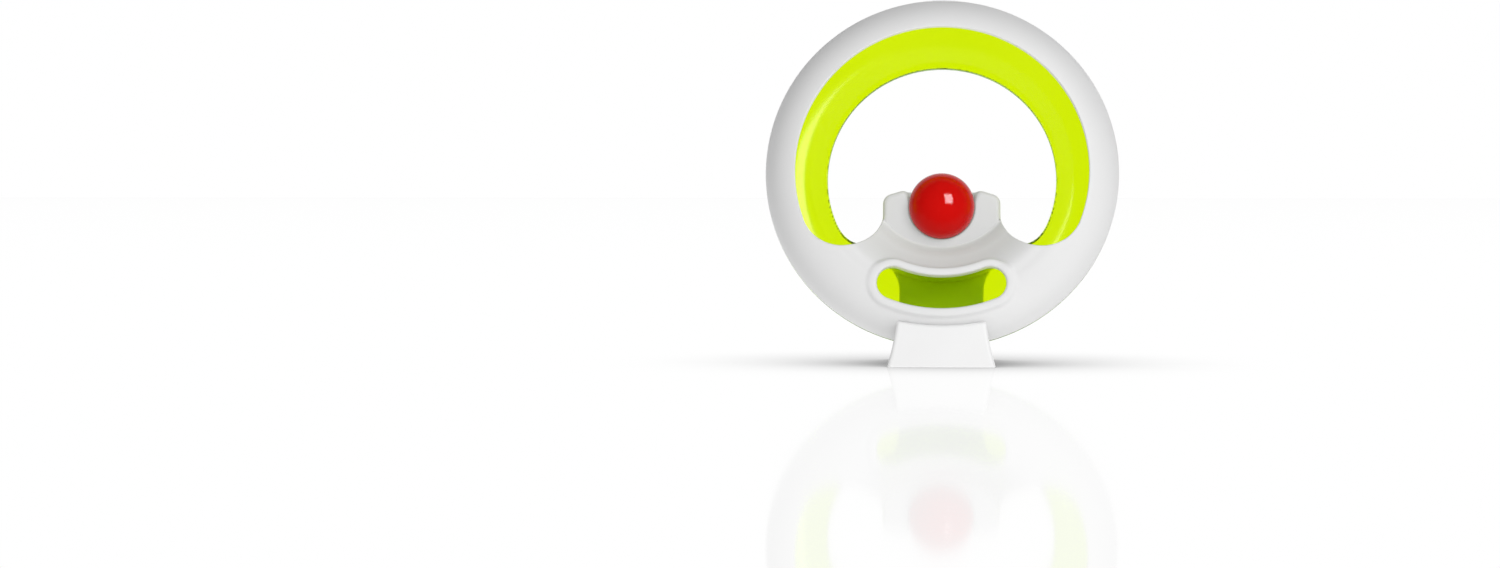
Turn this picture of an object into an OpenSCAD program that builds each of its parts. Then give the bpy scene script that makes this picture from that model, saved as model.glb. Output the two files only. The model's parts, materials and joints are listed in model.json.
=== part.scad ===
// Ring maze ball puzzle: a hollow ring that a ball rolls round, leaning back in a saddle stand.
// +Z is up, the front faces -Y, and the origin is on the floor under the middle of the whole.
// Ring parts are drawn flat first: x to the right, y up the ring, z out of its front.

/* [Ball] */
// Diameter of the ball
ball_d = 20; // [18:0.5:20.5]

/* [Ring] */
// Outer diameter of the ring
ring_od = 107.2; // [104:0.2:112]
// Free space round the ball inside the ring's channel
channel_play = 0.75; // [0.5:0.05:1]
// Wall thickness of both shells
shell_wall = 1.9; // [1.5:0.1:2.5]
// Radius of the round hole in the rear shell
rear_hole_r = 35.1; // [34:0.1:37]
// Height of the ring's centre above the floor
ring_height = 57.7; // [57:0.1:60]
// Angle that the ring leans back in its stand
ring_lean = 12; // [6:0.5:14]
// Distance of the ring's centre behind the origin
ring_back = 1.9; // [1:0.1:4]

/* [Front window] */
// Radius of the big front window
window_r = 44.1; // [43.5:0.1:45.5]
// Distance of the window's centre below the ring's centre
window_drop = 1.4; // [0:0.1:2]
// Radius of the window's two bottom lobes
lobe_r = 12.15; // [11:0.05:13]

/* [Cradle] */
// Half the width of the pedestal between the lobes
pedestal_half = 17.8; // [17:0.1:19]
// Radius from the ring's centre to the middle of the seated ball
seat_r = 10.3; // [10:0.1:11]
// Gap between the seated ball and its pocket
seat_gap = 0.3; // [0.2:0.05:0.5]
// Angle of the horns' top edges from straight down
horn_angle = 73; // [68:1:78]
// Drop of the point where the lines of the horns' top edges meet, below the ring's centre
horn_drop = 1.6; // [0:0.1:3]
// Distance of the cradle's flat rear face behind the ring's middle plane
cradle_rear = 12.3; // [12:0.1:12.6]
// Radius at which the cradle's rear face ends, over the rear shell
cradle_end_r = 31; // [30:0.5:33]
// Radius at which the cradle's flat front face meets the step up to the chin
step_r = 23.2; // [22.5:0.1:24]
// Radius of the top edge of that step, where the chin's slope begins
slope_r = 25.8; // [25:0.1:27]
// Height of the step
step_h = 4.5; // [3.5:0.1:5]
// Angle round the tube, from its inner side, where the chin's slope sinks into it
chin_meet = 62; // [58:1:66]

/* [Tunnel slot] */
// Radius of the slot's middle line
slot_r = 38.8; // [38:0.1:40]
// Half the width of the slot
slot_half = 4.9; // [4.5:0.1:5.2]
// Angle from the middle of the slot to the centre of each round end
slot_span = 21.8; // [18:0.2:26]
// Width of the flat collar round the slot
collar_w = 2.5; // [2:0.1:3]
// Height of the collar's face in front of the ring's middle plane
collar_face = 12.9; // [12.8:0.05:13.2]

/* [Stand] */
// Width of the stand on the floor
stand_base_w = 32.4; // [31:0.1:38]
// Width of the stand's waist
stand_waist_w = 25.6; // [24:0.1:27]
// Height of the waist
stand_waist_h = 21.8; // [20:0.1:23]
// Width of the back wall at its top
stand_top_w = 29.6; // [28:0.1:32]
// Height of the back wall
stand_h = 28.5; // [27:0.5:29.5]
// Height of the front lip at its corners
lip_h = 13.6; // [11:0.1:14]
// Dip of the lip's top edge at its middle
lip_dip = 1.2; // [0.8:0.1:1.6]
// Distance that the lip's front face slopes back up to its top edge
lip_slope = 3; // [1:0.1:3.2]
// Distance of the stand's rear edge behind the origin, on the floor
stand_rear = 17; // [15:0.5:22]
// Hollow of the curved rear face
rear_hollow = 1.5; // [1:0.1:2]
// Thickness of the back wall at its top
back_wall_t = 3.2; // [2.5:0.1:4]
// Clearance between the ring and its saddle
saddle_gap = 0.3; // [0.2:0.05:0.5]

/* [Hidden] */
$fn = 128;
channel_r = ball_d / 2 + channel_play;
tube_r = channel_r + shell_wall;
ring_r = ring_od / 2 - tube_r;
pocket_r = ball_d / 2 + seat_gap;
stand_front = ring_back + ring_r * sin(ring_lean) + tube_r;
blend = 0.05;
lobe_x = pedestal_half + lobe_r;
lobe_y = -window_drop - sqrt(pow(window_r - lobe_r + blend, 2) - lobe_x * lobe_x);
land_half = slot_half + collar_w;
beyond = 2 * ring_od;

// Puts a ring part, drawn flat, into the leaning ring's place.
module in_ring() {
    translate([0, ring_back, ring_height]) rotate([90 - ring_lean, 0, 0]) children();
}

// Half plane in front of (side = 1) or behind (side = -1) the ring's middle plane, as a section.
module section_half(side) {
    translate([0, side > 0 ? 0 : -beyond]) square([beyond, beyond]);
}

// Section of a round tube that bends along the ring.
module tube_section(r) {
    translate([ring_r, 0]) circle(r);
}

// Front view of all that fills the ring below and beside the window's lobes, with the pedestal.
module chin_outline() {
    reach = beyond / (window_r - lobe_r);
    far_x = lobe_x * reach;
    far_y = -window_drop + (lobe_y + window_drop) * reach;
    side_x = pedestal_half + blend;
    difference() {
        polygon([
            [-side_x, 0], [side_x, 0], [side_x, lobe_y], [lobe_x, lobe_y], [far_x, far_y],
            [far_x, -beyond], [-far_x, -beyond], [-far_x, far_y], [-lobe_x, lobe_y], [-side_x, lobe_y]
        ]);
        for (side = [-1, 1]) translate([side * lobe_x, lobe_y]) circle(lobe_r);
    }
}

// Front view of the big window.
module window_outline() {
    difference() {
        translate([0, -window_drop]) circle(window_r);
        chin_outline();
    }
}

// Front view of a round-ended slot that follows the ring's bottom, half wide on each side.
module slot_outline(half) {
    end_x = slot_r * sin(slot_span);
    end_y = slot_r * cos(slot_span);
    intersection() {
        difference() {
            circle(slot_r + half);
            circle(slot_r - half);
        }
        polygon([[0, 0], [-2 * end_x, -2 * end_y], [2 * end_x, -2 * end_y]]);
    }
    for (side = [-1, 1]) translate([side * end_x, -end_y]) circle(half + blend);
}

// Section of the front shell's chin: the tube's front half, the slope inside it and the step.
// The slope ends just under the tube's surface, so that the two cross at a clear angle.
module chin_section() {
    meet_r = tube_r - shell_wall / 3;
    foot_r = step_r - (slope_r - step_r) / step_h;
    intersection() {
        union() {
            tube_section(tube_r);
            polygon([
                [foot_r, -1], [slope_r, step_h],
                [ring_r - meet_r * cos(chin_meet), meet_r * sin(chin_meet)],
                [ring_r, 0], [ring_r, -1]
            ]);
        }
        section_half(1);
    }
}

module front_shell() {
    color("whitesmoke") in_ring() difference() {
        union() {
            difference() {
                rotate_extrude() chin_section();
                linear_extrude(beyond) window_outline();
            }
            translate([0, 0, channel_r / 2]) linear_extrude(collar_face - channel_r / 2)
                slot_outline(land_half);
        }
        rotate_extrude() tube_section(channel_r);
        linear_extrude(beyond) slot_outline(slot_half);
    }
}

module rear_shell() {
    color("yellowgreen") in_ring() difference() {
        rotate_extrude() intersection() {
            difference() {
                tube_section(tube_r);
                tube_section(channel_r);
            }
            section_half(-1);
        }
        translate([0, 0, -beyond / 2]) linear_extrude(beyond) difference() {
            circle(rear_hole_r);
            chin_outline();
        }
    }
}

// Space that the ball drops into: round below, and open towards the top and the front.
module pocket() {
    translate([0, -seat_r, 0]) {
        sphere(pocket_r);
        rotate([-90, 0, 0]) cylinder(h = ring_od, r = pocket_r + blend);
    }
}

// Front view of the cradle, with its two horns.
module cradle_outline() {
    far_x = beyond * sin(horn_angle);
    far_y = -horn_drop - beyond * cos(horn_angle);
    intersection() {
        chin_outline();
        circle(cradle_end_r);
        polygon([[0, -horn_drop], [far_x, far_y], [far_x, -beyond], [-far_x, -beyond], [-far_x, far_y]]);
    }
}

module cradle() {
    color("gainsboro") in_ring() difference() {
        translate([0, 0, -cradle_rear]) linear_extrude(cradle_rear) cradle_outline();
        rotate_extrude() tube_section(tube_r);
        pocket();
    }
}

module ball() {
    color("red") in_ring() translate([0, -seat_r, 0]) sphere(d = ball_d);
}

// Front view of the stand: sides that curve in to a waist and out again under the ring.
module stand_outline() {
    lower_rise = (stand_base_w - stand_waist_w) / 2;
    upper_rise = (stand_top_w - stand_waist_w) / 2;
    upper_h = stand_h - stand_waist_h;
    lower_r = (pow(stand_waist_h, 2) + pow(lower_rise, 2)) / (2 * lower_rise);
    upper_r = (pow(upper_h, 2) + pow(upper_rise, 2)) / (2 * upper_rise);
    difference() {
        translate([-stand_base_w / 2 - blend, 0]) square([stand_base_w + 2 * blend, stand_h]);
        for (side = [-1, 1]) intersection() {
            translate([side * (stand_waist_w / 2 + lower_r), stand_waist_h]) circle(lower_r);
            translate([-beyond / 2, -1]) square([beyond, stand_waist_h + 1]);
        }
        for (side = [-1, 1]) intersection() {
            translate([side * (stand_waist_w / 2 + upper_r), stand_waist_h]) circle(upper_r);
            translate([-beyond / 2, stand_waist_h]) square([beyond, stand_h]);
        }
    }
}

// Side view of the stand before the ring's seat is cut, drawn as y and z.
module stand_profile() {
    wall_top = ring_back - (ring_height - stand_h) * tan(ring_lean)
        + (tube_r + saddle_gap) / cos(ring_lean) + back_wall_t;
    face_w = stand_rear - wall_top;
    face_l = sqrt(face_w * face_w + stand_h * stand_h);
    hollow_r = (pow(face_l / 2, 2) + rear_hollow * rear_hollow) / (2 * rear_hollow);
    out = (hollow_r - rear_hollow) / face_l;
    difference() {
        polygon([
            [-stand_front, 0], [stand_rear + blend, 0], [wall_top + blend, stand_h], [0, stand_h],
            [-stand_front + lip_slope, lip_h]
        ]);
        translate([(stand_rear + wall_top) / 2 + stand_h * out, stand_h / 2 + face_w * out])
            circle(hollow_r);
    }
}

// Front view of the space above the lip, with its dished lower edge.
module above_lip() {
    half = stand_waist_w / 2;
    dish_r = (half * half + lip_dip * lip_dip) / (2 * lip_dip);
    translate([-beyond / 2, lip_h]) square([beyond, beyond]);
    translate([0, lip_h - lip_dip + dish_r]) circle(dish_r);
}

module stand() {
    color("white") difference() {
        intersection() {
            translate([0, beyond / 2, 0]) rotate([90, 0, 0]) linear_extrude(beyond) stand_outline();
            translate([-beyond / 2, 0, 0]) rotate([90, 0, 90]) linear_extrude(beyond) stand_profile();
        }
        in_ring() rotate_extrude() {
            tube_section(tube_r + saddle_gap);
            translate([0, -tube_r - saddle_gap]) square([ring_r, 2 * (tube_r + saddle_gap)]);
        }
        translate([0, ring_back - tube_r / 2, 0]) rotate([90, 0, 0]) linear_extrude(beyond) above_lip();
    }
}

front_shell();
rear_shell();
cradle();
ball();
stand();
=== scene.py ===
"""Looks of the ring maze ball puzzle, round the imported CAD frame.

The two shells, the cradle and the stand are smooth closed meshes: each is the surface where a
distance function of its shape is zero, with its edges rounded and its joins blended as moulded
plastic has them. Lengths inside the shape functions are millimetres. Ring pieces are shaped flat,
x to the right, y up the ring and z out of its front, and are then laid in the leaning ring.
"""

import json

import bmesh
import bpy
import numpy as np
from mathutils import Matrix, Vector


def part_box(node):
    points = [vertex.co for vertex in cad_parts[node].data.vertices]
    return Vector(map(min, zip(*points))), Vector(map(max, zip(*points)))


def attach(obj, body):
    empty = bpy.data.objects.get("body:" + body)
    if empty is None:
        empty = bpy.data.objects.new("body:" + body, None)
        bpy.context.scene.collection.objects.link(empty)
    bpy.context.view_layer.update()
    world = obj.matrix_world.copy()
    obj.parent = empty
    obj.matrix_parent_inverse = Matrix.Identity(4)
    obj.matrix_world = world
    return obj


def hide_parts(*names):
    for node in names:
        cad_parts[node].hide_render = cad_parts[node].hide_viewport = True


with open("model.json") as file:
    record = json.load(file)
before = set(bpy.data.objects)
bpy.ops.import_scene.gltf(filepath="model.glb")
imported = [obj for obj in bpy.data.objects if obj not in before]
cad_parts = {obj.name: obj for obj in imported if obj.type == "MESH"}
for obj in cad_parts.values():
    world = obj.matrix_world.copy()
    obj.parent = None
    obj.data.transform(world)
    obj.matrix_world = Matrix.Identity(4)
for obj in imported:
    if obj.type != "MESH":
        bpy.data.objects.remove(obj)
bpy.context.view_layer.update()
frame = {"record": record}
MM = 0.001

# ---------------------------------------------------------------- sizes, from the frame

joints = {joint["name"]: joint for joint in frame["record"]["behaviour"]["joints"]}
up = Vector(joints["ring_lift"]["axis"]).normalized()
front = Vector((1, 0, 0)).cross(up)
ball_low, ball_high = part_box("ball")
ball_centre = (ball_low + ball_high) / 2
SEAT_R = 10.3
centre = ball_centre + up * SEAT_R * MM
ring_axes = Matrix((Vector((1, 0, 0)), up, front)).transposed()
ring_place = Matrix.Translation(centre) @ ring_axes.to_4x4()
stand_low, stand_high = (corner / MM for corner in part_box("stand"))

BALL_R = 10.0
CHANNEL_PLAY = 0.75
SHELL_WALL = 1.9
CHANNEL_R = BALL_R + CHANNEL_PLAY
TUBE_R = CHANNEL_R + SHELL_WALL
RING_OUTER_R = 53.6
RING_R = RING_OUTER_R - TUBE_R
REAR_HOLE_R, REAR_HOLE_CORNER = 35.1, 11
WINDOW_R, WINDOW_DROP, LOBE_R = 44.1, 1.4, 12.15
PEDESTAL_HALF = 17.8
LOBE_X = PEDESTAL_HALF + LOBE_R
LOBE_Y = -WINDOW_DROP - np.sqrt((WINDOW_R - LOBE_R) ** 2 - LOBE_X**2)
POCKET_R = BALL_R + 0.12
CRADLE_HALF = 26.0
HORN_ANGLE, HORN_DROP = np.radians(73), 1.6
CRADLE_REAR, CRADLE_END_R = 12.3, 31.0
STEP_R, SLOPE_R, STEP_H = 23.2, 25.8, 4.5
CHIN_SLOPE = np.tan(np.radians(32.7))
SLOT_R, SLOT_HALF, SLOT_SPAN = 38.8, 4.9, np.radians(21.8)
COLLAR_W, COLLAR_FACE = 2.5, 12.9
CRADLE_SINK = 0.4
SADDLE_GAP = 0.3
BASE_W, WAIST_W, WAIST_H, TOP_W = 32.4, 25.6, 21.8, 29.6
LIP_H, LIP_DIP, LIP_SLOPE = 13.6, 1.2, 3.0
BACK_WALL, REAR_HOLLOW = 3.2, 1.5

# How far the rounding of an edge, or the blend of a join, reaches
THIN_EDGE, WINDOW_EDGE, HOLE_EDGE, PARTING_EDGE = 0.3, 0.4, 0.45, 0.5
SLOT_EDGE, COLLAR_EDGE, CHIN_BLEND = 0.9, 1.2, 3
STEP_TOP, STEP_FOOT = 2.0, 1.0
HORN_EDGE, CRADLE_FACE_EDGE, CRADLE_BACK_EDGE = 2.4, 1.5, 1.2
POCKET_LOW_EDGE, POCKET_EDGE_GROWTH = 0.7, 1.9
STAND_CORNER, STAND_TOP_EDGE, SADDLE_EDGE, LIP_EDGE, FOOT_EDGE = 1.2, 1, 0.8, 0.9, 0.5

# ---------------------------------------------------------------- distance helpers


def soft_max(a, b, k):
    """The larger of two distances, with the edge between them rounded over about k."""
    h = np.maximum(k - np.abs(a - b), 0) / k
    return np.maximum(a, b) + h * h * k / 4


def soft_min(a, b, k):
    return -soft_max(-a, -b, k)


def window(x, y):
    """Front view of the big window: negative inside it."""
    side_x = np.abs(x)
    dx, dy = side_x - LOBE_X, y - LOBE_Y
    lobe = np.hypot(dx, dy) - LOBE_R
    round_part = np.hypot(x, y + WINDOW_DROP) - WINDOW_R
    below = LOBE_X * dy - (LOBE_Y + WINDOW_DROP) * dx < 0
    pedestal = np.maximum(side_x - PEDESTAL_HALF, y)
    upper = np.where(dx < 0, np.maximum(-pedestal, round_part), round_part)
    return np.where(np.where(dx < 0, dy < 0, below), lobe, upper)


def slot(x, y):
    """Front view: distance from the tunnel slot's middle line."""
    angle = np.arctan2(np.abs(x), -y)
    arc = np.abs(np.hypot(x, y) - SLOT_R)
    end = np.hypot(np.abs(x) - SLOT_R * np.sin(SLOT_SPAN), y + SLOT_R * np.cos(SLOT_SPAN))
    return np.where(angle < SLOT_SPAN, arc, end)


# ---------------------------------------------------------------- shapes of the pieces


def chin_height(radius):
    """Front surface inside the tube: the cradle's face, the step up from it and the slope."""
    step = (radius - STEP_R) * STEP_H / (SLOPE_R - STEP_R)
    slope = STEP_H + (radius - SLOPE_R) * CHIN_SLOPE
    return soft_max(soft_min(step, slope, STEP_TOP), 0 * radius, STEP_FOOT)


def front_shell_shape(x, y, z):
    """Half a tube, the chin that slopes in from it, and the collar; then what is cut out."""
    chin_in, chin_out, chin_steepness, sink_r = STEP_R - 0.6, RING_R - 4, 0.75, 29
    radius = np.hypot(x, y)
    from_tube = np.hypot(radius - RING_R, z)
    rise = (z - chin_height(radius)) * chin_steepness
    chin = soft_max(np.maximum(rise, chin_in - radius), radius - chin_out, CHIN_BLEND)
    body = soft_min(from_tube - TUBE_R, chin, CHIN_BLEND)
    middle = slot(x, y)
    collar = soft_max(middle - SLOT_HALF - COLLAR_W, z - COLLAR_FACE, COLLAR_EDGE)
    body = soft_min(body, collar, COLLAR_EDGE)
    shell = soft_max(body, CHANNEL_R - from_tube, THIN_EDGE)
    shell = soft_max(shell, -window(x, y), WINDOW_EDGE)
    shell = soft_max(shell, SLOT_HALF - middle, SLOT_EDGE)
    sunk = CRADLE_SINK * np.clip(sink_r - radius, 0, 1)
    return soft_max(shell, -z - sunk, PARTING_EDGE)


def rear_shell_shape(x, y, z):
    """Half a tube with the ring's hole, whose corners by the chin are well rounded."""
    radius = np.hypot(x, y)
    from_tube = np.hypot(radius - RING_R, z)
    shell = soft_max(from_tube - TUBE_R, CHANNEL_R - from_tube, THIN_EDGE)
    hole = soft_max(radius - REAR_HOLE_R, window(x, y), REAR_HOLE_CORNER)
    return soft_max(soft_max(shell, -hole, HOLE_EDGE), z, PARTING_EDGE)


def cradle_shape(x, y, z):
    """A thick plate with two horns; the pocket's edge is rounded more up between them."""
    radius = np.hypot(x, y)
    horn_top = (y + HORN_DROP) * np.sin(HORN_ANGLE) + np.hypot(x, 2) * np.cos(HORN_ANGLE)
    pocket = np.sqrt(x**2 + z**2 + np.minimum(y + SEAT_R, 0) ** 2) - POCKET_R
    body = soft_max(horn_top, -window(x, y), HORN_EDGE)
    body = soft_max(body, z, CRADLE_FACE_EDGE)
    pocket_edge = POCKET_LOW_EDGE + POCKET_EDGE_GROWTH * np.clip(y / 3 + 3, 0, 1)
    body = soft_max(body, -pocket, pocket_edge)
    ends = np.maximum(-CRADLE_REAR - z, radius - CRADLE_END_R)
    body = soft_max(body, ends, CRADLE_BACK_EDGE)
    return soft_max(body, TUBE_R - np.hypot(radius - RING_R, z), THIN_EDGE)


def stand_sides(x, z):
    """Front view of the stand: an arc on each side, drawn in at the waist."""
    rise, top_rise, top_h = (BASE_W - WAIST_W) / 2, (TOP_W - WAIST_W) / 2, stand_high.z - WAIST_H
    lower_r = (WAIST_H**2 + rise**2) / (2 * rise)
    upper_r = (top_h**2 + top_rise**2) / (2 * top_rise)
    side_r = np.where(z < WAIST_H, lower_r, upper_r)
    return side_r - np.hypot(np.abs(x) - WAIST_W / 2 - side_r, z - WAIST_H)


def stand_rear(y, z):
    """Side view of the stand's hollow rear face, an arc from its foot to the wall's top."""
    height, lean = stand_high.z, np.arctan2(up.y, up.z)
    saddle_back = centre.y / MM - (centre.z / MM - height) * np.tan(lean)
    wall_top = saddle_back + (TUBE_R + SADDLE_GAP) / np.cos(lean) + BACK_WALL
    face_w = stand_high.y - wall_top
    face_l = np.hypot(face_w, height)
    hollow_r = ((face_l / 2) ** 2 + REAR_HOLLOW**2) / (2 * REAR_HOLLOW)
    out = (hollow_r - REAR_HOLLOW) / face_l
    arc_y, arc_z = (stand_high.y + wall_top) / 2 + height * out, height / 2 + face_w * out
    return hollow_r - np.hypot(y - arc_y, z - arc_z)


def saddle(x, y, z):
    """The room for the ring: the tube with its gap, and all that lies inside the tube's middle."""
    ring_y = (y - centre.y / MM) * up.y + (z - centre.z / MM) * up.z
    ring_z = (y - centre.y / MM) * front.y + (z - centre.z / MM) * front.z
    radius = np.hypot(x, ring_y)
    seat_r = TUBE_R + SADDLE_GAP
    slab = np.maximum(radius - RING_R, np.abs(ring_z) - seat_r)
    return np.minimum(np.hypot(radius - RING_R, ring_z) - seat_r, slab)


def stand_shape(x, y, z):
    """The stand in the room's frame, x to the right, y to the rear and z up."""
    front_face = (-(y - stand_low.y) * LIP_H + z * LIP_SLOPE) / np.hypot(LIP_H, LIP_SLOPE)
    faces = soft_max(front_face, stand_rear(y, z), STAND_TOP_EDGE)
    sides = soft_max(stand_sides(x, z), z - stand_high.z, STAND_TOP_EDGE)
    body = soft_max(faces, sides, STAND_CORNER)
    body = soft_max(body, -saddle(x, y, z), SADDLE_EDGE)
    half = WAIST_W / 2
    dish_r = (half**2 + LIP_DIP**2) / (2 * LIP_DIP)
    above = np.minimum(LIP_H - z, np.hypot(x, z - LIP_H + LIP_DIP - dish_r) - dish_r)
    above = np.maximum(above, y - (centre.y / MM - TUBE_R / 2))
    body = soft_max(body, -above, LIP_EDGE)
    return soft_max(body, -z, FOOT_EDGE)


# ---------------------------------------------------------------- from a shape to a mesh


def slopes(shape, p):
    """How the distance grows at points p, by central differences."""
    nudge = 0.02
    out = np.empty_like(p)
    for axis in range(3):
        step = np.zeros(3)
        step[axis] = nudge
        out[:, axis] = shape(*(p + step).T) - shape(*(p - step).T)
    return out / (2 * nudge)


def surface(shape, low, high, step):
    """Vertices, quads and normals of a shape's surface, on a grid of that step (surface nets).

    Each grid cell that the surface crosses gets one vertex, at the mean of its edges' crossings,
    and each crossed grid edge gets a quad of the four cells round it. The vertices are then moved
    onto the surface itself, a few short steps along its slope.
    """
    rounds, flattest, longest_move = 4, 0.2, 0.4 * step
    axes = [np.arange(a - 1.5 * step, b + 2.5 * step, step) for a, b in zip(low, high)]
    values = shape(*np.meshgrid(*axes, indexing="ij")).astype(np.float32)
    inside = values < 0
    corners = [(i, j, k) for i in (0, 1) for j in (0, 1) for k in (0, 1)]

    def part(array, offset):
        return array[tuple(slice(o, n - 1 + o) for o, n in zip(offset, array.shape))]

    count = sum(part(inside, corner).astype(np.int8) for corner in corners)
    cells = np.argwhere((count > 0) & (count < 8))
    number = np.full(count.shape, -1, dtype=np.int64)
    number[tuple(cells.T)] = np.arange(len(cells))
    total, hits = np.zeros((len(cells), 3)), np.zeros(len(cells))
    for a in corners:
        for axis in range(3):
            if a[axis]:
                continue
            b = tuple(a[i] + (i == axis) for i in range(3))
            va = values[tuple((cells + a).T)]
            vb = values[tuple((cells + b).T)]
            cross = (va < 0) != (vb < 0)
            share = np.where(cross, va / np.where(cross, va - vb, 1), 0)
            point = cells + a + share[:, None] * np.eye(3)[axis]
            total += np.where(cross[:, None], point, 0)
            hits += cross
    origin = np.array([axis[0] for axis in axes])
    points = origin + total / hits[:, None] * step
    quads = []
    for axis in range(3):
        u, v = (axis + 1) % 3, (axis + 2) % 3
        size = values.shape
        inner = [slice(1, n - 1) for n in size]
        low_end, high_end = list(inner), list(inner)
        low_end[axis], high_end[axis] = slice(0, size[axis] - 1), slice(1, size[axis])
        a, b = inside[tuple(low_end)], inside[tuple(high_end)]
        shift = np.array([0 if i == axis else 1 for i in range(3)])
        for flip, where in ((False, a & ~b), (True, ~a & b)):
            at = np.argwhere(where) + shift
            around = []
            for du, dv in ((1, 1), (0, 1), (0, 0), (1, 0)):
                cell = at.copy()
                cell[:, u] -= du
                cell[:, v] -= dv
                around.append(number[tuple(cell.T)])
            quad = np.stack(around, 1)
            quads.append(quad[:, ::-1] if flip else quad)
    for _ in range(rounds):
        grow = slopes(shape, points)
        steep = np.maximum((grow**2).sum(1), flattest)
        move = -(shape(*points.T) / steep)[:, None] * grow
        far = np.maximum(np.linalg.norm(move, axis=1) / longest_move, 1)
        points = points + move / far[:, None]
    normals = slopes(shape, points)
    normals /= np.linalg.norm(normals, axis=1)[:, None]
    return points, np.concatenate(quads), normals


def shaped(name, shape, low, high, step, place=None):
    """A smooth mesh object of a shape, laid in the frame."""
    points, quads, normals = surface(shape, low, high, step)
    place = np.array(place or Matrix.Identity(4))
    points = points * MM @ place[:3, :3].T + place[:3, 3]
    normals = normals @ place[:3, :3].T
    mesh = bpy.data.meshes.new(name)
    mesh.from_pydata(points.tolist(), [], quads.tolist())
    mesh.validate()
    mesh.shade_smooth()
    mesh.normals_split_custom_set_from_vertices(normals.tolist())
    piece = bpy.data.objects.new(name, mesh)
    bpy.context.scene.collection.objects.link(piece)
    return piece


def round_ball(name, radius, place):
    """A ball of even quads: a cube divided finely and pushed out to the radius."""
    bm = bmesh.new()
    bmesh.ops.create_cube(bm, size=2)
    bmesh.ops.subdivide_edges(bm, edges=bm.edges[:], cuts=31, use_grid_fill=True)
    for vertex in bm.verts:
        spread = Vector(np.tan(np.array(vertex.co) * np.pi / 4))
        vertex.co = place + spread.normalized() * radius
    mesh = bpy.data.meshes.new(name)
    bm.to_mesh(mesh)
    bm.free()
    mesh.shade_smooth()
    piece = bpy.data.objects.new(name, mesh)
    bpy.context.scene.collection.objects.link(piece)
    return piece


# ---------------------------------------------------------------- materials


def new_material(name):
    material = bpy.data.materials.new(name)
    material.use_nodes = True
    nodes, links = material.node_tree.nodes, material.node_tree.links
    shader = nodes["Principled BSDF"]
    coords = nodes.new("ShaderNodeTexCoord")
    return material, nodes, links, shader, coords


def noise(nodes, links, coords, scale, detail=2.0):
    texture = nodes.new("ShaderNodeTexNoise")
    texture.inputs["Scale"].default_value = scale
    texture.inputs["Detail"].default_value = detail
    links.new(coords.outputs["Object"], texture.inputs["Vector"])
    return texture.outputs["Fac"]


def ramp(nodes, links, value, low, high):
    """Colours or greys that follow a noise from low to high."""
    node = nodes.new("ShaderNodeValToRGB")
    node.color_ramp.elements[0].position, node.color_ramp.elements[1].position = 0.35, 0.65
    node.color_ramp.elements[0].color, node.color_ramp.elements[1].color = low, high
    links.new(value, node.inputs["Fac"])
    return node.outputs["Color"]


def grey(value):
    return (value, value, value, 1)


def bump(nodes, links, shader, value, strength, distance):
    node = nodes.new("ShaderNodeBump")
    node.inputs["Strength"].default_value = strength
    node.inputs["Distance"].default_value = distance
    links.new(value, node.inputs["Height"])
    links.new(node.outputs["Normal"], shader.inputs["Normal"])


def white_plastic(name, tone, rough):
    """Satin moulded plastic: a very fine grain, and a faint unevenness in tone and gloss."""
    material, nodes, links, shader, coords = new_material(name)
    broad = noise(nodes, links, coords, 40)
    colour = ramp(nodes, links, broad, grey(tone * 0.985), grey(tone))
    links.new(colour, shader.inputs["Base Color"])
    sheen = ramp(nodes, links, broad, grey(rough), grey(rough + 0.06))
    links.new(sheen, shader.inputs["Roughness"])
    bump(nodes, links, shader, noise(nodes, links, coords, 2600, 4), 0.12, 0.00004)
    shader.inputs["Specular IOR Level"].default_value = 0.3
    return material


def clear_lime():
    """Clear tinted plastic with a slightly wavy moulded face, and a painted darker green where its
    face is seen aslant.

    Lamp light and bounced light go straight through it, tinted, instead of being refracted.
    """
    material, nodes, links, shader, coords = new_material("clear_lime")
    broad = noise(nodes, links, coords, 30)
    colour = ramp(nodes, links, broad, (0.66, 0.87, 0.0005, 1), (0.68, 0.885, 0.001, 1))
    # Painted shade: a darker green mixed in where the face is seen aslant, following the view
    # rather than the plastic's own tint.
    aslant, aslant_painted_green_mix = nodes.new("ShaderNodeLayerWeight"), nodes.new("ShaderNodeMixRGB")
    aslant_painted_green_mix.inputs["Color2"].default_value = (0.3, 0.8, 0.0005, 1)
    aslant_painted_share = ramp(nodes, links, aslant.outputs["Facing"], grey(0), grey(1))
    links.new(aslant_painted_share, aslant_painted_green_mix.inputs["Fac"])
    links.new(colour, aslant_painted_green_mix.inputs["Color1"])
    links.new(aslant_painted_green_mix.outputs["Color"], shader.inputs["Base Color"])
    links.new(ramp(nodes, links, broad, grey(0.16), grey(0.21)), shader.inputs["Roughness"])
    bump(nodes, links, shader, noise(nodes, links, coords, 160, 1), 0.05, 0.0001)
    shader.inputs["Transmission Weight"].default_value = 1.0
    shader.inputs["IOR"].default_value = 1.45
    shader.inputs["Specular IOR Level"].default_value = 0.25
    path, straight = nodes.new("ShaderNodeLightPath"), nodes.new("ShaderNodeMath")
    tinted, mixed = nodes.new("ShaderNodeBsdfTransparent"), nodes.new("ShaderNodeMixShader")
    tinted.inputs["Color"].default_value = (0.92, 1.0, 0.4, 1)
    straight.operation = "MAXIMUM"
    links.new(path.outputs["Is Shadow Ray"], straight.inputs[0])
    links.new(path.outputs["Is Diffuse Ray"], straight.inputs[1])
    links.new(straight.outputs[0], mixed.inputs["Fac"])
    links.new(shader.outputs[0], mixed.inputs[1])
    links.new(tinted.outputs[0], mixed.inputs[2])
    links.new(mixed.outputs[0], nodes["Material Output"].inputs["Surface"])
    return material


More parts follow.
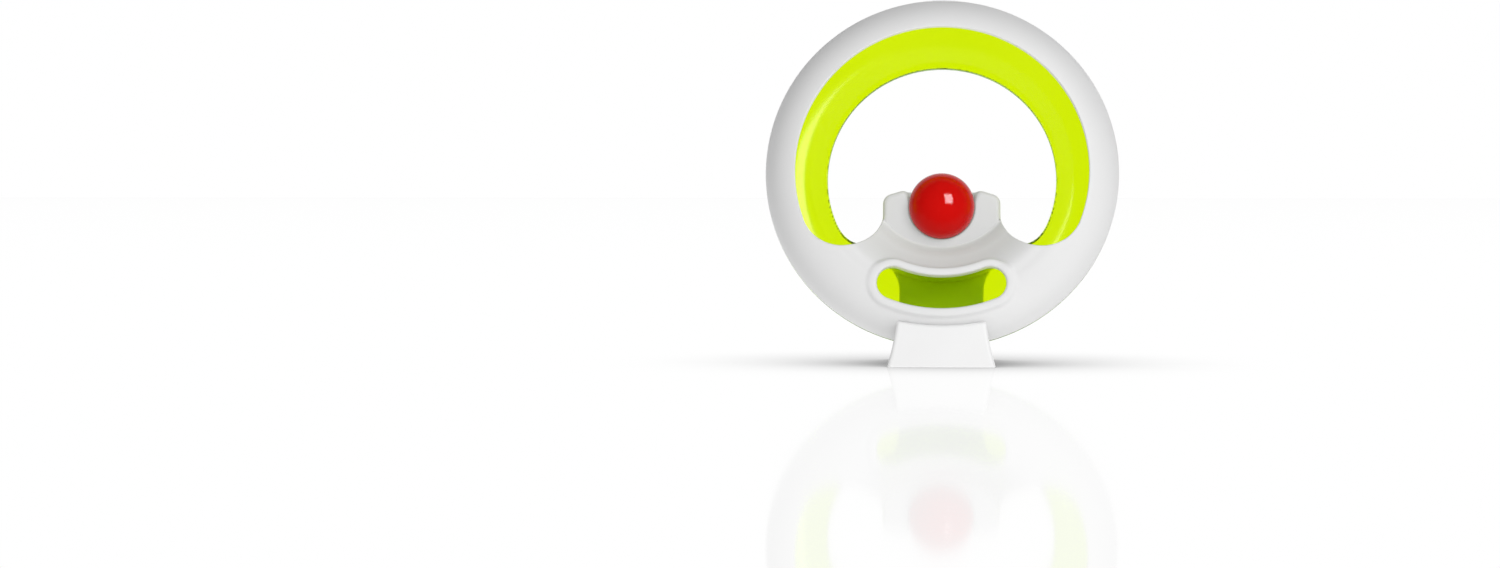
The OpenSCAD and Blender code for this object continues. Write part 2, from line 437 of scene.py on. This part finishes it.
def gloss_red():
    """Deep red gloss with a trace of orange peel."""
    material, nodes, links, shader, coords = new_material("gloss_red")
    broad = noise(nodes, links, coords, 60)
    colour = ramp(nodes, links, broad, (0.64, 0.0058, 0.0045, 1), (0.67, 0.0066, 0.005, 1))
    links.new(colour, shader.inputs["Base Color"])
    links.new(ramp(nodes, links, broad, grey(0.05), grey(0.07)), shader.inputs["Roughness"])
    bump(nodes, links, shader, noise(nodes, links, coords, 500, 2), 0.03, 0.00003)
    shader.inputs["Specular IOR Level"].default_value = 0.07
    return material


# ---------------------------------------------------------------- the pieces

reach = RING_R + TUBE_R
shell_step = 0.42
small_step = shell_step * 0.7

pieces = {
    "front_shell": shaped(
        "front_shell_skin", front_shell_shape, (-reach, -reach, 0.0),
        (reach, reach, COLLAR_FACE), shell_step, ring_place,
    ),
    "rear_shell": shaped(
        "rear_shell_skin", rear_shell_shape, (-reach, -reach, -TUBE_R),
        (reach, reach, 0.0), shell_step, ring_place,
    ),
    "cradle": shaped(
        "cradle_skin", cradle_shape, (-CRADLE_HALF, -CRADLE_END_R, -CRADLE_REAR),
        (CRADLE_HALF, 0.0, 0.0), small_step, ring_place,
    ),
    "stand": shaped("stand_skin", stand_shape, stand_low, stand_high, small_step),
    "ball": round_ball("ball_skin", BALL_R * MM, ball_centre),
}
looks = {
    "front_shell": white_plastic("white_shell_plastic", 0.84, 0.38),
    "rear_shell": clear_lime(),
    # The cradle is the shell's white plastic with a darker tone: painted shade on the seat and
    # horns round the ball.
    "cradle": white_plastic("white_cradle_plastic_painted_shade", 0.76, 0.40),
    "ball": gloss_red(),
    # The stand is the shell's white plastic with a lighter tone: painted light on its lip and on
    # its wall seen through the lime shell.
    "stand": white_plastic("white_stand_plastic_painted_light", 0.95, 0.34),
}
bodies = {
    "front_shell": "ring",
    "rear_shell": "ring",
    "cradle": "ring",
    "ball": "ball",
    "stand": "stand",
}
for node, piece in pieces.items():
    piece.data.materials.append(looks[node])
    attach(piece, bodies[node])
    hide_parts(node)

# ---------------------------------------------------------------- floor, world, lights

scene = bpy.context.scene
scene.view_settings.view_transform = "Standard"


def floor():
    """A white floor with a painted soft contact shadow and a faint reflection.

    It glows white as far as the object leaves it open, so that it never turns grey elsewhere.
    """
    half_side, shadow_reach, mirror_share = 6, 0.07, 0.16
    bm = bmesh.new()
    bmesh.ops.create_grid(bm, x_segments=1, y_segments=1, size=half_side)
    mesh = bpy.data.meshes.new("floor")
    bm.to_mesh(mesh)
    bm.free()
    piece = bpy.data.objects.new("floor", mesh)
    scene.collection.objects.link(piece)
    piece.visible_glossy = False
    material = bpy.data.materials.new("white_floor")
    material.use_nodes = True
    nodes, links = material.node_tree.nodes, material.node_tree.links
    nodes.clear()
    output, mixed = nodes.new("ShaderNodeOutputMaterial"), nodes.new("ShaderNodeMixShader")
    glow, mirror = nodes.new("ShaderNodeEmission"), nodes.new("ShaderNodeBsdfGlossy")
    open_sky, level = nodes.new("ShaderNodeAmbientOcclusion"), nodes.new("ShaderNodeMapRange")
    open_sky.samples = 24
    open_sky.inputs["Distance"].default_value = shadow_reach
    for name, value in (("From Min", 0.3), ("From Max", 0.93), ("To Min", 0.2), ("To Max", 1.0)):
        level.inputs[name].default_value = value
    path, bounce = nodes.new("ShaderNodeLightPath"), nodes.new("ShaderNodeMath")
    bounce.operation = "MAXIMUM"
    mirror.inputs["Color"].default_value = grey(1.0)
    mirror.inputs["Roughness"].default_value = 0.06
    mixed.inputs["Fac"].default_value = mirror_share
    # Painted contact shadow: the glow dims where ambient occlusion finds the object close by.
    links.new(open_sky.outputs["AO"], level.inputs["Value"])
    links.new(level.outputs["Result"], bounce.inputs[0])
    links.new(path.outputs["Is Diffuse Ray"], bounce.inputs[1])
    links.new(bounce.outputs[0], glow.inputs["Strength"])
    links.new(glow.outputs[0], mixed.inputs[1])
    links.new(mirror.outputs[0], mixed.inputs[2])
    links.new(mixed.outputs[0], output.inputs["Surface"])
    mesh.materials.append(material)


def studio_world():
    """White to look at and through, softer as light, and dark in front so that gloss stays clean.

    Y runs to the rear, so the softer light is strongest from the front and white gloss comes
    only from behind.
    """
    world = bpy.data.worlds.new("studio")
    scene.world = world
    world.use_nodes = True
    nodes, links = world.node_tree.nodes, world.node_tree.links
    nodes.clear()
    output = nodes.new("ShaderNodeOutputWorld")
    path = nodes.new("ShaderNodeLightPath")
    seen = nodes.new("ShaderNodeBackground")
    fill = nodes.new("ShaderNodeBackground")
    behind = nodes.new("ShaderNodeBackground")
    coords = nodes.new("ShaderNodeTexCoord")
    split = nodes.new("ShaderNodeSeparateXYZ")
    fade = nodes.new("ShaderNodeMapRange")
    fade.inputs["From Min"].default_value, fade.inputs["From Max"].default_value = 0.1, 0.6
    ahead = nodes.new("ShaderNodeMapRange")
    levels = (("From Min", 0.0), ("From Max", -1.0), ("To Min", 0.08), ("To Max", 0.66))
    for name, value in levels:
        ahead.inputs[name].default_value = value
    links.new(split.outputs["Y"], ahead.inputs["Value"])
    links.new(ahead.outputs["Result"], fill.inputs["Strength"])
    links.new(coords.outputs["Generated"], split.inputs[0])
    links.new(split.outputs["Y"], fade.inputs["Value"])
    links.new(fade.outputs["Result"], behind.inputs["Strength"])
    gloss_mix, seen_mix = nodes.new("ShaderNodeMixShader"), nodes.new("ShaderNodeMixShader")
    through = nodes.new("ShaderNodeMath")
    through.operation = "MAXIMUM"
    links.new(path.outputs["Is Camera Ray"], through.inputs[0])
    links.new(path.outputs["Is Transmission Ray"], through.inputs[1])
    links.new(path.outputs["Is Glossy Ray"], gloss_mix.inputs["Fac"])
    links.new(fill.outputs[0], gloss_mix.inputs[1])
    links.new(behind.outputs[0], gloss_mix.inputs[2])
    links.new(through.outputs[0], seen_mix.inputs["Fac"])
    links.new(gloss_mix.outputs[0], seen_mix.inputs[1])
    links.new(seen.outputs[0], seen_mix.inputs[2])
    links.new(seen_mix.outputs[0], output.inputs["Surface"])
    for node in (seen, fill, behind):
        node.inputs["Color"].default_value = grey(1.0)
    seen.inputs["Strength"].default_value = 1.0


def softbox(name, direction, distance, width, height, watts):
    """An area light that faces the ring's centre."""
    data = bpy.data.lights.new(name, "AREA")
    data.shape = "RECTANGLE"
    data.size, data.size_y, data.energy = width, height, watts
    lamp = bpy.data.objects.new(name, data)
    lamp.location = centre + Vector(direction).normalized() * distance
    lamp.rotation_euler = (centre - lamp.location).to_track_quat("-Z", "Y").to_euler()
    scene.collection.objects.link(lamp)
    return lamp


LAMP_DISTANCE = 0.9
floor()
studio_world()
softbox("key", (0.40, -0.80, 0.48), LAMP_DISTANCE, 0.45, 0.56, 3.5)
# The ball's highlight: a lamp that only the ball mirrors. The ball tints no neighbour red.
glint = softbox("glint", (0.40, -0.80, 0.42), LAMP_DISTANCE, 0.40, 0.54, 44.0)
glint.visible_diffuse = False
pieces["ball"].visible_diffuse = False
glossy_pieces = bpy.data.collections.new("glossy_pieces")
glossy_pieces.objects.link(pieces["ball"])
glint.light_linking.receiver_collection = glossy_pieces

# ---------------------------------------------------------------- camera

# It stands square before the ring and is turned aside, so that the ring is seen off the middle.
CAMERA_DISTANCE = 0.9
CAMERA_LENS, CAMERA_SENSOR = 70.82, 36
CAMERA_YAW, CAMERA_PITCH = np.radians(3.7151), np.radians(2.1562)
camera_data = bpy.data.cameras.new("camera")
camera_data.sensor_width = CAMERA_SENSOR
camera_data.lens = CAMERA_LENS
camera = bpy.data.objects.new("camera", camera_data)
camera.location = (0, centre.y - CAMERA_DISTANCE, centre.z)
camera.rotation_euler = (np.pi / 2 - CAMERA_PITCH, 0, CAMERA_YAW)
scene.collection.objects.link(camera)
scene.camera = camera
